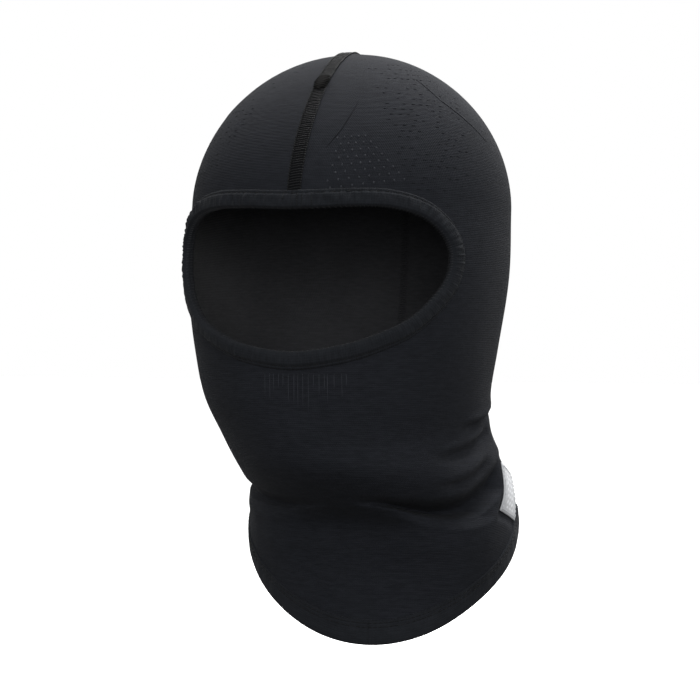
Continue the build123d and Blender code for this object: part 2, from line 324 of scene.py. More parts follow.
# ---------------------------------------------------------------- materials
class Graph:
    """The nodes of a material or of the world."""

    def __init__(self, tree):
        tree.nodes.clear()
        self.nodes, self.link = tree.nodes, tree.links.new

    def node(self, kind, **values):
        """A node with its inputs or its properties set."""
        made = self.nodes.new(kind)
        for key, value in values.items():
            name = key.replace("_", " ")
            if name in made.inputs:
                made.inputs[name].default_value = value
            else:
                setattr(made, key, value)
        return made

    def op(self, operation, a, b=None):
        """A step of arithmetic on one or two values."""
        made = self.nodes.new("ShaderNodeMath")
        made.operation = operation
        for slot, value in enumerate((a, b)):
            if isinstance(value, (int, float)):
                made.inputs[slot].default_value = value
            elif value is not None:
                self.link(value, made.inputs[slot])
        return made.outputs[0]

    def times(self, a, b):
        """The product of two values."""
        return self.op("MULTIPLY", a, b)

    def plus(self, a, b):
        """The sum of two values."""
        return self.op("ADD", a, b)

    def sine(self, value, period):
        """A wave of that period, in the units of value."""
        return self.op("SINE", self.times(value, TURN / period))

    def split(self, vector):
        """The three parts of a vector."""
        parts = self.node("ShaderNodeSeparateXYZ")
        self.link(vector, parts.inputs[0])
        return parts.outputs

    def noise(self, vector, scale, detail=2.0, roughness=0.5):
        """A cloudy pattern."""
        made = self.node("ShaderNodeTexNoise", Scale=scale, Detail=detail, Roughness=roughness)
        self.link(vector, made.inputs["Vector"])
        return made.outputs[0]

    def stretched(self, vector, scale):
        """A vector scaled along each axis."""
        made = self.node("ShaderNodeMapping", Scale=scale)
        self.link(vector, made.inputs["Vector"])
        return made.outputs[0]

    def ramp(self, value, dark, light, low=0.0, high=1.0):
        """A colour from dark at low to light at high."""
        made = self.node("ShaderNodeValToRGB")
        first, last = made.color_ramp.elements
        first.position, last.position = low, high
        first.color, last.color = (*dark, 1), (*light, 1)
        self.link(value, made.inputs["Fac"])
        return made.outputs["Color"]

    def surface(self, colour, height, strength, distance, **values):
        """The shader of a cloth or thread, bumped by height."""
        bumped = self.node("ShaderNodeBump", Strength=strength, Distance=distance)
        self.link(height, bumped.inputs["Height"])
        shader = self.node("ShaderNodeBsdfPrincipled", **values)
        self.link(colour, shader.inputs["Base Color"])
        self.link(bumped.outputs["Normal"], shader.inputs["Normal"])
        self.finish(shader, "ShaderNodeOutputMaterial")

    def finish(self, shader, kind):
        """Joins the shader to an output of that kind."""
        self.link(shader.outputs[0], self.node(kind).inputs["Surface"])


def new_material(name):
    """A material and its empty graph."""
    material = bpy.data.materials.new(name)
    material.use_nodes = True
    return material, Graph(material.node_tree)


def scaled(colour, factor):
    """A colour made darker or lighter."""
    return [c * factor for c in colour]


def knit_material(name, colour, wale=0.0011, course=0.0009, sheen=0.02, streaks=0.14):
    """A knit: columns of loops with course lines, mottled yarn and fuzz. UVs in metres."""
    material, graph = new_material(name)
    times, plus = graph.times, graph.plus
    uv = graph.node("ShaderNodeUVMap", uv_map="cloth").outputs["UV"]
    place = graph.node("ShaderNodeTexCoord").outputs["Object"]
    across, along = graph.split(uv)[:2]
    columns = graph.sine(across, wale)
    lean = times(graph.op("ABSOLUTE", columns), 1.6)
    rows = graph.op("SINE", plus(times(along, TURN / course), lean))
    loops = plus(times(columns, 0.30), times(rows, 0.45))
    fuzz = graph.noise(place, scale=2600.0, detail=3.0)
    strands = graph.stretched(uv, scale=(0.25, 1.0, 1.0))
    yarn = graph.noise(strands, scale=900.0, detail=4.0, roughness=0.6)
    mottle = graph.noise(place, scale=34.0, detail=4.0)
    # uneven courses: short dark lines where the yarn is pulled tighter
    uneven = graph.noise(graph.stretched(uv, scale=(110.0, 620.0, 1.0)), scale=1.0)
    streak = graph.node("ShaderNodeMapRange", From_Min=0.42, From_Max=0.60)
    graph.link(uneven, streak.inputs["Value"])
    height = plus(loops, times(fuzz, 1.1))
    height = plus(height, times(yarn, 1.2))
    height = plus(height, times(streak.outputs[0], 1.8 * streaks))
    tone = plus(times(loops, 0.07), times(yarn, 0.55))
    tone = plus(tone, times(mottle, 0.35))
    tone = plus(tone, times(streak.outputs[0], streaks))
    base = graph.ramp(tone, scaled(colour, 0.60), scaled(colour, 1.45), low=0.15,
                      high=0.78 + streaks)
    graph.surface(base, height, strength=0.75, distance=0.00015, Roughness=0.9,
                  Sheen_Weight=sheen, Sheen_Roughness=0.45, Specular_IOR_Level=0.03)
    return material


def thread_material(name, colour, rough=0.7, shine=0.08):
    """Twisted sewing thread."""
    material, graph = new_material(name)
    place = graph.node("ShaderNodeTexCoord").outputs["Object"]
    twist = graph.node("ShaderNodeTexWave", Scale=900.0, Distortion=2.0,
                       bands_direction="DIAGONAL")
    graph.link(place, twist.inputs["Vector"])
    mottle = graph.noise(place, scale=700.0)
    base = graph.ramp(mottle, scaled(colour, 0.7), scaled(colour, 1.35))
    graph.surface(base, twist.outputs["Fac"], strength=0.5, distance=0.00012,
                  Roughness=rough, Specular_IOR_Level=shine, Sheen_Weight=0.01)
    return material


def label_material(name):
    """Satin woven label: silver ground, a plain zigzag stripe pattern woven lighter."""
    material, graph = new_material(name)
    times, plus = graph.times, graph.plus
    uv = graph.node("ShaderNodeUVMap", uv_map="cloth").outputs["UV"]
    u, v = graph.split(uv)[:2]
    weave = times(graph.sine(u, period=0.0005), graph.sine(v, period=0.0006))
    # three woven columns of plain chevrons in the middle of the label
    slant = plus(v, times(graph.op("PINGPONG", u, 0.0022), 0.8))
    stripes = graph.op("GREATER_THAN", graph.sine(slant, period=0.0032), 0.35)
    inside_u = graph.op("LESS_THAN", graph.op("ABSOLUTE", u), 0.0066)
    inside_v = graph.op("LESS_THAN", graph.op("ABSOLUTE", v), 0.0096)
    pattern = times(stripes, times(inside_u, inside_v))
    mottle = graph.noise(uv, scale=420.0, detail=3.0)
    tone = plus(times(weave, 0.08), times(mottle, 0.35))
    tone = plus(tone, times(pattern, 0.42))
    base = graph.ramp(tone, (0.24, 0.245, 0.255), (0.60, 0.61, 0.63), low=0.05, high=0.85)
    graph.surface(base, weave, strength=0.6, distance=0.0001, Roughness=0.42,
                  Specular_IOR_Level=0.3, Sheen_Weight=0.05)
    return material


KNIT = knit_material("hood_knit", (0.0094, 0.0102, 0.0125), sheen=0.008)
# the brushed inner face: lighter partly in its own colour and partly as painted light, making up
# for the little light that reaches inside
INSIDE = knit_material("hood_knit_inside", (0.0300, 0.0305, 0.0330), sheen=0.05, streaks=0.08)
BINDING = knit_material("binding_knit", (0.0094, 0.0103, 0.0122), wale=0.0019, course=0.0011,
                        streaks=0.08)
# painted highlight: the raised dots and ribs get a lighter knit that stands in for the sheen they
# catch
RELIEF_SHEEN = knit_material("relief_knit_painted_sheen", (0.020, 0.0215, 0.0255), sheen=0.03, streaks=0.08)
# painted shade: a near-black knit for the sunk dashes, the grooved lines and the seam's bed,
# standing in for the shade in hollows and between the seam's rungs
PAINTED_SHADE = knit_material("painted_shade_knit", (0.0035, 0.0037, 0.0044), sheen=0.0, streaks=0.08)
THREAD = thread_material("thread", (0.0062, 0.0064, 0.0068))
TACK = thread_material("tack_thread", (0.0062, 0.0061, 0.0060), rough=0.9, shine=0.01)
# painted highlight: thread made lighter to stand in for the glints along the overlocked free edge;
# the loopers inside share it
GLINT_THREAD = thread_material("painted_glint_thread", (0.022, 0.0228, 0.0250))
ELASTIC = thread_material("elastic", (0.01, 0.01, 0.011))
LABEL = label_material("label")
LABEL_THREAD = thread_material("label_thread", (0.36, 0.37, 0.38), rough=0.4)


# ---------------------------------------------------------------- mesh helpers
ARCH = np.sin(np.linspace(0, np.pi, 5))  # the lift of a stitch between its two ends
TAPER, TAPER_POWER = 0.12, 6  # how thin a thread gets at its ends, and how suddenly


def piece(name, points, faces, material, replaces=(), uv=None):
    """A mesh from points in millimetres, riding on the hood. uv is in millimetres too, a row to
    each point or to each corner of each face."""
    points = np.asarray(points)
    mesh = bpy.data.meshes.new(name)
    mesh.from_pydata((points * MM).tolist(), [],
                     faces.tolist() if isinstance(faces, np.ndarray) else faces)
    mesh.validate()
    layer = mesh.uv_layers.new(name="cloth")
    index = np.zeros(len(mesh.loops), np.int32)
    mesh.loops.foreach_get("vertex_index", index)
    flat = points[:, :2] if uv is None else np.asarray(uv)
    by_corner = uv is not None and len(flat) == len(index)
    corners = flat if by_corner else flat[index]
    layer.data.foreach_set("uv", (corners * MM).astype(np.float32).ravel())
    mesh.polygons.foreach_set("use_smooth", [True] * len(mesh.polygons))
    obj = bpy.data.objects.new(name, mesh)
    bpy.context.scene.collection.objects.link(obj)
    mesh.materials.append(material)
    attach(obj, "root")
    if replaces:
        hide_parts(*replaces)
    return obj


def grid_faces(rows, columns, close_rows=False, close_columns=False):
    """The quads of a grid of points, joined round where it closes on itself."""
    i = np.arange(rows if close_rows else rows - 1)[:, None]
    j = np.arange(columns if close_columns else columns - 1)[None, :]
    a = i * columns + j
    b = i * columns + (j + 1) % columns
    c = ((i + 1) % rows) * columns + (j + 1) % columns
    d = ((i + 1) % rows) * columns + j
    return np.stack([x.ravel() for x in np.broadcast_arrays(a, b, c, d)], 1)


def tubes(name, paths, material, replaces=(), *, radius, sides=6, flat=1.0):
    """Short threads: each path is (points, normals). Their ends taper into the cloth, and
    flat is their height to their width."""
    points, faces, start = [], [], 0
    turn = np.arange(sides)[:, None] * TURN / sides
    for path, up in paths:
        up = np.broadcast_to(up, path.shape)
        side = unit(np.cross(unit(np.gradient(path, axis=0)), up))
        count = len(path)
        t = np.abs(np.linspace(-1, 1, count))[:, None, None]
        thick = radius * np.sqrt(np.clip(1 - t**TAPER_POWER, TAPER, 1))
        ring = np.cos(turn) * side[:, None] + flat * np.sin(turn) * up[:, None]
        points.append((path[:, None] + ring * thick).reshape(-1, 3))
        faces += (grid_faces(count, sides, close_columns=True) + start).tolist()
        first, last = range(start, start + sides), start + (count - 1) * sides
        faces += [list(first)[::-1], list(range(last, last + sides))]
        start += count * sides
    piece(name, np.concatenate(points), faces, material, replaces)


def swept(name, sections, material, replaces=(), uv=None):
    """A closed ring of closed sections, (around, section, 3)."""
    faces = grid_faces(*sections.shape[:2], close_rows=True, close_columns=True)
    piece(name, sections.reshape(-1, 3), faces, material, replaces, uv)


def uv_rows(u, v):
    """A row of uv for each point of a grid."""
    return np.stack(np.broadcast_arrays(u, v), -1).reshape(-1, 2)


# ---------------------------------------------------------------- the panel
ROUND, TALL, NECK_ROWS = 240, 208, 46  # points round the panel, rows in all, rows under the fold
NECK_SPREAD, HEAD_SPREAD = 1.25, 1.22  # the rows lie closer together at the fold
HEM_LAP, CROWN_GAP = 1.2, 1.2  # the first row over the hem's fold, the last row under the apex
FACE_SIDE_Y = -20  # the opening is cut in front of this


def panel_rows():
    """The angle and m of every point of the panel but the apex."""
    theta = np.arange(ROUND) * TURN / ROUND
    low, line = hem_m(theta, HEM_LAP), crease_row(theta, 1) - RING_Z
    below = 1 - (1 - np.linspace(0, 1, NECK_ROWS, endpoint=False)[:, None]) ** NECK_SPREAD
    above = np.linspace(0, 1, TALL - NECK_ROWS)[:, None] ** HEAD_SPREAD
    m = np.concatenate([low + (line - low) * below, line + (APEX - CROWN_GAP - line) * above])
    return np.broadcast_to(theta, m.shape), m


def in_opening(points):
    """Which points lie inside the edge that the face opening is cut to."""
    edge = opening_curve(PANEL_EDGE)
    x, z = edge[:, 0], edge[:, 1] - OPENING_MIDDLE_Z
    angle = np.arctan2(z, x)
    order = np.argsort(angle)
    reach = np.hypot(x, z)[order]
    x, z = points[:, 0], points[:, 2] - OPENING_MIDDLE_Z
    limit = np.interp(np.arctan2(z, x), angle[order], reach, period=TURN)
    return (np.hypot(x, z) < limit) & (points[:, 1] < FACE_SIDE_Y)


def pattern_uv(block, angle, m):
    """A uv for each corner of a block of faces. Each half of the panel has its own pattern, and
    the two meet at the throat's fold."""
    middle = np.angle(np.exp(1j * angle[block]).mean(1))
    way = np.where(middle < 0, -1, 1)[:, None] * np.ones(block.shape)
    across = half_girth(np.abs(angle[block]), m[block])
    return np.stack([(way * across).ravel(), m[block].ravel()], 1)


def make_panel():
    """One panel of knit, with the face opening cut out of it."""
    theta, m = panel_rows()
    points = np.concatenate([cloth(theta, m).reshape(-1, 3), [(0, CROWN_Y, CROWN_Z)]])
    faces = grid_faces(TALL, ROUND, close_columns=True)
    faces = faces[~in_opening(points)[faces].any(1)]
    last, apex = (TALL - 1) * ROUND, len(points) - 1
    fan = [(last + i, last + (i + 1) % ROUND, apex) for i in range(ROUND)]
    every = np.concatenate([faces.ravel(), np.ravel(fan)])
    used, where = np.unique(every, return_inverse=True)
    quads, fan = where[:faces.size].reshape(-1, 4), where[faces.size:].reshape(-1, 3)
    angle = np.append(((theta + math.pi) % TURN - math.pi).ravel(), 0)[used]
    along = np.append(m.ravel(), APEX - 1)[used]
    uv = np.concatenate([pattern_uv(block, angle, along) for block in (quads, fan)])
    panel = piece("hood_panel_knit", points[used], quads.tolist() + fan.tolist(), KNIT,
                  ["hood_panel"], uv)
    panel.data.materials.append(INSIDE)
    solid = panel.modifiers.new("thickness", "SOLIDIFY")
    solid.thickness = CLOTH * MM
    solid.offset = -1
    solid.use_even_offset = True
    solid.material_offset = 1
    return panel


# ---------------------------------------------------------------- the face binding
FOREHEAD_Z = -5  # the free edge is higher than this at the forehead only
LAP_X, LAP_RISE = (2.5, 9.5), 0.75  # where the binding's two ends lie over each other
ROW_SHARE, ROW_PITCH, EDGE_PITCH = 0.80, 2.6, 1.9  # needle row across, its and the edge's pitch
SECTION, TOP_PART, UNDER_PART = 30, 0.58, 0.42  # points of a section, shares over and under it
FREE_SHARE = 0.02  # this much of the top is the free edge itself


def binding_frame(count=840):
    """Points on the cloth under the two edges of the binding, and the way out, all round."""
    found = []
    for margin in (0.0, BINDING_WIDTH, BINDING_WIDTH / 2):
        flat = opening_curve(margin, count)
        found.append(on_cloth(theta_of(flat[:, 0], flat[:, 1]), along_of(flat[:, 1])))
    return found[0][0], found[1][0], found[2][1]


EDGE, OUTER, WAY_OUT = binding_frame()
RIM = len(EDGE)
ACROSS = OUTER - EDGE
RIM_STEPS = np.linalg.norm(np.roll(EDGE, -1, 0) - EDGE, axis=1)


def binding_top(share):
    """How far the binding's outside stands off the cloth, by its share of the width."""
    roll = np.clip(1 - np.abs(2 * share - 0.86) ** 2.6, 0, 1) ** 0.5
    groove = bump(share - ROW_SHARE, 0.05)
    return BINDING_OUTSIDE * roll * (1 - 0.30 * share) + 0.5 - 1.0 * groove


def binding_point(index, share, out):
    """A point of the binding: index along the rim, share across it, out off the cloth."""
    index = np.asarray(index, float) % RIM
    i = np.floor(index).astype(int) % RIM
    f = (index - np.floor(index))[..., None]
    j = (i + 1) % RIM
    edge, across, up = (a[i] * (1 - f) + a[j] * f for a in (EDGE, ACROSS, WAY_OUT))
    return edge + across * np.asarray(share)[..., None] + up * np.asarray(out)[..., None], up


def binding_sections(share, out):
    """Sections all round the rim, from shares across it and distances off the cloth."""
    return EDGE[:, None] + ACROSS[:, None] * share[:, None] + WAY_OUT[:, None] * out[..., None]


def puckers(share):
    """How far the gathered strip stands up, all round the rim; it is fullest at the forehead."""
    around = (np.arange(RIM) * TURN / RIM)[:, None]
    lean = share * 2.6
    waves = (0.17 * np.sin(118 * around + lean) * np.sin(31 * around)
             + 0.15 * np.sin(83 * around - lean + 1.1)
             + 0.12 * np.sin(23 * around + 2 * lean) + RNG.normal(0, 0.09, (RIM, 1)))
    gather = 0.6 + 0.4 * np.sin(3 * around + 0.5) * np.sin(7 * around)
    return waves * (gather * (1 + 2.2 * smoothstep(EDGE[:, 2:], -22, -4)))


def make_binding():
    """The strip, rolled over its elastic, with its two ends lapped at the forehead."""
    k = np.arange(SECTION) / SECTION
    top = k < TOP_PART
    share = np.where(top, k / TOP_PART, 1 - (k - TOP_PART) / UNDER_PART)
    lower = -CLOTH - BINDING_INSIDE * np.clip(1 - np.abs(2 * share - 1) ** 3.0, 0, 1) ** 0.5
    off = np.where(top, binding_top(share), lower)
    off = np.where(top & (share < FREE_SHARE), -0.2, off)
    lapped = (EDGE[:, 2] > FOREHEAD_Z) & (EDGE[:, 0] > LAP_X[0]) & (EDGE[:, 0] < LAP_X[1])
    rise = LAP_RISE * lapped[:, None] * top * (share > FREE_SHARE)
    out = off + puckers(share) * np.where(top, np.sin(np.pi * share), 0) + rise
    along = np.concatenate([[0], np.cumsum(RIM_STEPS)[:-1]])
    swept("face_binding_roll", binding_sections(share, out), BINDING,
          ["face_binding"], uv_rows(k * 24.0, along[:, None]))


def make_elastic():
    """The flat elastic inside the roll."""
    share, out = np.array([0.12, 0.42, 0.42, 0.12]), np.array([0.0, 0.0, -1.2, -1.2])
    swept("face_elastic_band", binding_sections(share, out), ELASTIC, ["face_elastic"])


def make_binding_stitches():
    """The needle row, the thread over the free edge, and the tacks that close the lap."""
    row, loops, tacks = [], [], []
    stitches = int(RIM_STEPS.sum() / ROW_PITCH)
    reach = RIM * 0.40 / stitches
    for k in range(stitches):
        index = RIM * k / stitches + np.linspace(-reach, reach, 5)
        share = np.full(5, ROW_SHARE) + RNG.normal(0, 0.004)
        row.append(binding_point(index, share, binding_top(share) + 0.05 + 0.18 * ARCH))
    tubes("binding_needle_stitches", row, THREAD, ["binding_needle_thread"],
          radius=0.24)
    turns = int(RIM_STEPS.sum() / EDGE_PITCH)
    share = np.array([0.075, 0.012, -0.010, -0.008, 0.018, 0.10])
    out = np.array([1.7, 0.9, 0.0, -1.0, -1.9, -2.5])
    for k in range(turns):
        index = RIM * k / turns + np.linspace(0, 0.5 * RIM / turns, 6)
        loops.append(binding_point(index, share, out))
    # the overlock over the free edge, in thread lightened as painted glints
    tubes("binding_edge_stitches", loops, GLINT_THREAD,
          ["binding_overlock_thread"], radius=0.17, sides=5)
    forehead = np.flatnonzero((EDGE[:, 2] > FOREHEAD_Z) & (np.abs(EDGE[:, 0]) < 20))
    order = forehead[np.argsort(EDGE[forehead, 0])]
    for x in LAP_X:
        index = np.interp(x, EDGE[order, 0], order.astype(float) - RIM * (order > RIM / 2))
        for k in range(6):
            share = 0.10 + 0.115 * k + np.linspace(0, 0.075, 4)
            tacks.append(binding_point(np.full(4, index), share, binding_top(share) + LAP_RISE))
    tubes("binding_lap_tacks", tacks, THREAD, ["binding_lap_stitches"], radius=0.26)


# ---------------------------------------------------------------- the seam over the crown
SEAM_PITCH, TACK_PITCH = 1.35, 0.8
SEAM_START_Z, SEAM_UNDER = 4.0, 1.0  # the free edge at the seam, and how far it goes under
SEAM_STEP, SEAM_APEX_GAP = 0.5, 2.0  # how finely the seam's line is worked out
TACK_Y = (-57, -46)  # where the tack lies


def seam_path(step):
    """Points along the middle of the seam from the forehead over the crown to the hem, with the
    ways out, across and along."""
    start = along_of(np.array(SEAM_START_Z)) + BINDING_WIDTH - SEAM_UNDER
    top = APEX - SEAM_APEX_GAP
    front = [(0.0, m) for m in np.arange(start, top, SEAM_STEP)]
    behind = [(math.pi, m) for m in np.arange(top, hem_m(math.pi, HEM_BAND + 1), -SEAM_STEP)]
    theta, m = np.array(front + behind).T
    line = cloth(theta, m)
    neck = hermite(np.minimum(line[:, 2], RING_Z), NECK_TURN)
    turn = np.radians(np.where(theta > 1, neck, 0))
    across = np.stack([np.cos(turn), np.sin(turn), 0 * turn], 1)
    reach = np.concatenate([[0], np.cumsum(np.linalg.norm(np.diff(line, axis=0), axis=1))])
    at = np.arange(0, reach[-1], step)
    centre, side = (np.stack([np.interp(at, reach, v[:, k]) for k in range(3)], 1)
                    for v in (line, across))
    along = np.gradient(centre, axis=0)
    for _ in range(3):
        along[1:-1] = (along[:-2] + along[1:-1] + along[2:]) / 3
    along = unit(along)
    return centre, unit(np.cross(side, along)), side, along


def make_seam():
    """The flatlock seam: a ladder of thread outside on a bed of dark looper thread, darkened more
    as painted shade between the rungs, and a zigzag inside.
    """
    centre, up, side, along = seam_path(SEAM_PITCH)
    rungs, rails, inner = [], [], []
    x, y = np.linspace(-1, 1, 7)[:, None], np.array([-1, -0.5, 0, 0.5, 1])[:, None]
    rung_lift = 0.25 * (1 - x**4) + 0.10 - 0.5 * x**2 * 0.12
    rail_lift = 0.18 + 0.22 * (1 - y**2)
    for c, n, s, t in zip(centre, up, side, along):
        wobble = RNG.normal(0, 0.10)
        rungs.append((c + s * (x * SEAM_HALF) + t * (x * 0.55 + wobble) + n * rung_lift, n))
        for way in (-1, 1):
            rail = c + s * (way * SEAM_HALF * 0.92) + t * (y * 0.62) + n * rail_lift
            rails.append((rail, n))
        zigzag = c - n * (CLOTH + 0.25) + s * (y * 2.2) + t * (np.abs(y) * 0.65)
        inner.append((zigzag, -n))
    tubes("crown_seam_ladder", rungs + rails, THREAD, ["seam_cover_thread"],
          radius=0.34, flat=0.9)
    # the bed: dark looper thread under the rungs, made darker still as painted shade in the gaps
    # between them
    across = np.array([-1.0, -0.97, 0, 0.97, 1.0])[:, None] * SEAM_HALF * 0.97
    lift = np.array([-0.4, 0.12, 0.14, 0.12, -0.4])[:, None]
    bed = centre[:, None] + side[:, None] * across + up[:, None] * lift
    piece("crown_seam_bed", bed.reshape(-1, 3), grid_faces(*bed.shape[:2]), PAINTED_SHADE)
    tubes("crown_seam_looper", inner, GLINT_THREAD, ["seam_looper_thread"],
          radius=0.36, sides=5)


def make_bartack():
    """The dense tack that ends the thread near the top of the crown."""
    centre, up, side, along = seam_path(TACK_PITCH)
    y, z = centre[:, 1], centre[:, 2]
    here = np.flatnonzero((y > TACK_Y[0]) & (y < TACK_Y[1]) & (z > 0))
    x = np.linspace(-1, 1, 7)[:, None]
    paths = []
    for k, i in enumerate(here):
        lean = 0.5 if k % 2 else -0.5
        t = 2 * k / (len(here) - 1) - 1
        round_off = math.sqrt(max(1 - abs(t) ** 3, 0.12))
        wide = 3.9 * round_off + 0.2 * math.sin(k)
        lift = 0.5 + 1.2 * round_off * (1 - 0.7 * x**2)
        path = centre[i] + side[i] * (x * wide) + along[i] * (x * lean) + up[i] * lift
        paths.append((path, up[i]))
    tubes("crown_tack", paths, TACK, ["crown_bartack"], radius=0.48)


# ---------------------------------------------------------------- the hem
HEM_ROUND, HEM_PITCH = 480, 2.9
HEM_ROWS = (8.6, 10.6)  # heights of the two needle rows
HEM_RIPPLE = 12.2  # the ripple dies out at this height
HEM_SECTION = np.array((  # height over the fold, distance off the cloth
    (0.0, 0.15), (0.5, 0.75), (1.6, 1.05), (3.0, 1.15), (5.0, 1.15), (7.4, 1.05),
    (8.6, 0.75), (9.6, 1.0), (10.6, 0.7), (11.4, 0.8), (12.0, 0.6), (12.1, 0.05)))


def make_hem():
    """The strip folded over the lower edge, its two needle rows and the looper thread inside."""
    theta = np.arange(HEM_ROUND) * TURN / HEM_ROUND
    heights, thick = HEM_SECTION.T
    up = np.concatenate([heights, heights[::-1]])
    out = np.concatenate([thick, -CLOTH - thick[::-1] * 0.8])
    ripple = 0.16 * np.sin(theta * 67) * np.sin(theta * 9) + 0.12 * np.sin(theta * 31)
    sections = []
    for h, o in zip(up, out):
        off = o + ripple * (1 if o > 0 else -1) * math.sin(math.pi * h / HEM_RIPPLE)
        sections.append(on_cloth(theta, hem_m(theta, h), off)[0])
    sections = np.stack(sections, 1)
    uv = uv_rows((theta * 76)[:, None], np.concatenate([heights, 24 - heights[::-1]]))
    swept("neck_hem_strip", sections, BINDING, ["neck_hem_band"], uv)
    around = np.linalg.norm(np.diff(sections[:, 3], axis=0), axis=1).sum()
    stitches = int(around / HEM_PITCH)
    reach = TURN * 0.42 / stitches
    angle = (TURN * np.arange(stitches) / stitches)[:, None] + np.linspace(-reach, reach, 5)
    rows = [path for h in HEM_ROWS
            for path in paths_on_cloth(angle, hem_m(angle, h), 0.80 + 0.15 * ARCH)]
    zigzag = hem_m(angle, np.array([8.6, 9.6, 10.6, 9.6, 8.6]))  # from row to row
    looper = paths_on_cloth(angle, zigzag, -CLOTH - 1.0, inward=True)
    tubes("hem_needle_stitches", rows, THREAD, ["hem_needle_thread"], radius=0.20,
          sides=5)
    tubes("hem_looper_stitches", looper, GLINT_THREAD, ["hem_looper_thread"],
          radius=0.24, sides=5)


# ---------------------------------------------------------------- the label
LABEL_WIDE, LABEL_TALL = 28, 32  # points each way
LABEL_INSET, LABEL_PITCH = 1.2, 2.1  # of its stitches


def label_point(across, up, out):
    """A point of the label from its own middle, off the cloth on the wearer's left."""
    y = LABEL_Y + across * math.cos(LABEL_TILT) - up * math.sin(LABEL_LEAN)
    z = LABEL_Z + across * math.sin(LABEL_TILT) + up * math.cos(LABEL_TILT)
    return on_cloth(theta_of(y, z, low=20, high=150, axis=1), along_of(z), out)


def make_label():
    """The woven label: its face, its back and the border between them."""
    a, b = np.broadcast_arrays(np.linspace(-0.5, 0.5, LABEL_WIDE)[None, :] * LABEL_WIDTH,
                               np.linspace(-0.5, 0.5, LABEL_TALL)[:, None] * LABEL_HEIGHT)
    rim = np.minimum(LABEL_WIDTH / 2 - np.abs(a), LABEL_HEIGHT / 2 - np.abs(b))
    top = label_point(a, b, 0.75 + 0.25 * smoothstep(rim, 0, 2.5))[0]
    under = label_point(a, b, np.full(a.shape, 0.15))[0]
    faces = grid_faces(LABEL_TALL, LABEL_WIDE).tolist()
    faces += [[v + a.size for v in f[::-1]] for f in faces]
    ids = np.arange(a.size).reshape(a.shape)
    border = np.concatenate([ids[0], ids[1:, -1], ids[-1, -2::-1], ids[-2:0:-1, 0]]).tolist()
    faces += [(p, p + a.size, q + a.size, q) for p, q in zip(border, border[1:] + border[:1])]
    flat = np.stack([a.ravel(), b.ravel()], 1)
    points = np.concatenate([top.reshape(-1, 3), under.reshape(-1, 3)])
    piece("side_label_woven", points, faces, LABEL, ["side_label"],
          np.concatenate([flat, flat]))


def make_label_stitches():
    """The stitches round the label, a little way in from its edge."""
    half = np.array([LABEL_WIDTH / 2 - LABEL_INSET, LABEL_HEIGHT / 2 - LABEL_INSET])
    corners = np.array([(-1, -1), (1, -1), (1, 1), (-1, 1)]) * half
    paths = []
    for p, q in zip(corners, np.roll(corners, -1, 0)):
        count = int(np.linalg.norm(q - p) / LABEL_PITCH)
        for k in range(count):
            t = (k + np.linspace(0.10, 0.90, 5)) / count
            spot = p + (q - p) * t[:, None]
            paths.append(label_point(spot[:, 0], spot[:, 1], 1.0 + 0.14 * ARCH))
    tubes("label_stitches", paths, LABEL_THREAD, ["label_thread"], radius=0.22,
          sides=5)


# ---------------------------------------------------------------- relief knitted into the panel
MARK = np.linspace(-1, 1, 4)  # the points of a dot or a dash
DOTS, DASH_ROWS, DASH_GAP, RIBS = 8, 24, 5.2, 17
# (angle, z) along the lines, beside the seam and down the side of the crown
INNER_LINE = ((19, 57.5), (16, 50), (13, 42), (8.5, 33))
OUTER_LINE = ((54, 71.5), (61, 60), (72, 50.5), (83, 40.5))
LINE_POINTS, RIB_POINTS = 40, 9


def make_dots():
    """Raised tuck dots beside the seam on the wearer's left, a square of them less one corner."""
    places = []
    for r in range(DOTS):
        for c in range(DOTS):
            down, out = r / (DOTS - 1), c / (DOTS - 1)
            if out < 0.50 * (1 - down) - 0.12:
                continue
            top, bottom = 4.5 + 17.5 * out, 11.0 + 25.0 * out
            angle = math.radians(top + (bottom - top) * down)
            z = 37.0 - 24.0 * down + 4.5 * out * (0.4 + 0.6 * down)
            m = float(along_of(np.array(z))) + 0.7 * MARK
            places.append((np.full(len(MARK), angle), m))
    paths = paths_on_cloth(*np.array(places).transpose(1, 0, 2), 0.08)
    # lighter knit as painted sheen on the raised dots
    tubes("tuck_dots", paths, RELIEF_SHEEN, radius=0.45, flat=0.75)


def make_dashes():
    """Sunk dashes scattered in rows over both sides of the crown, painted dark as the shade in
    them.
    """
    places = []
    for mirror in (-1, 1):
        for r in range(DASH_ROWS):
            m = float(along_of(np.array(13.0 + 2.9 * r)))
            around = max(math.sqrt(max(1 - ((m / APEX) ** 2), 0.05)) * 84, 20)
            gap = DASH_GAP / around
            first, last = math.radians(38 - 0.55 * r), math.radians(62 + 1.0 * r)
            for k in range(int((last - first) / gap)):
                middle = first + gap * (k + 0.5 * (r % 2)) + RNG.normal(0, 0.05) * gap
                if RNG.random() < 0.55:
                    continue
                angle = mirror * (middle + 1.3 * MARK / around)
                places.append((angle, np.full(len(MARK), m)))
    paths = paths_on_cloth(*np.array(places).transpose(1, 0, 2), 0.0)
    tubes("knit_dashes", paths, PAINTED_SHADE, radius=0.16, sides=5, flat=0.7)


def make_lines():
    """The inner line on the wearer's left, and the outer line on both sides, as thin grooves
    painted dark as their shade.
    """
    paths = []
    for mirror, ends in ((-1, OUTER_LINE), (1, INNER_LINE), (1, OUTER_LINE)):
        angle, z = np.array(ends).T
        t = np.linspace(0, len(ends) - 1, LINE_POINTS)
        angle = np.interp(t, range(len(ends)), angle) * mirror
        paths.append(on_cloth(np.radians(angle), along_of(np.interp(t, range(len(ends)), z))))
    tubes("zone_lines", paths, PAINTED_SHADE, radius=0.24, sides=5, flat=0.6)


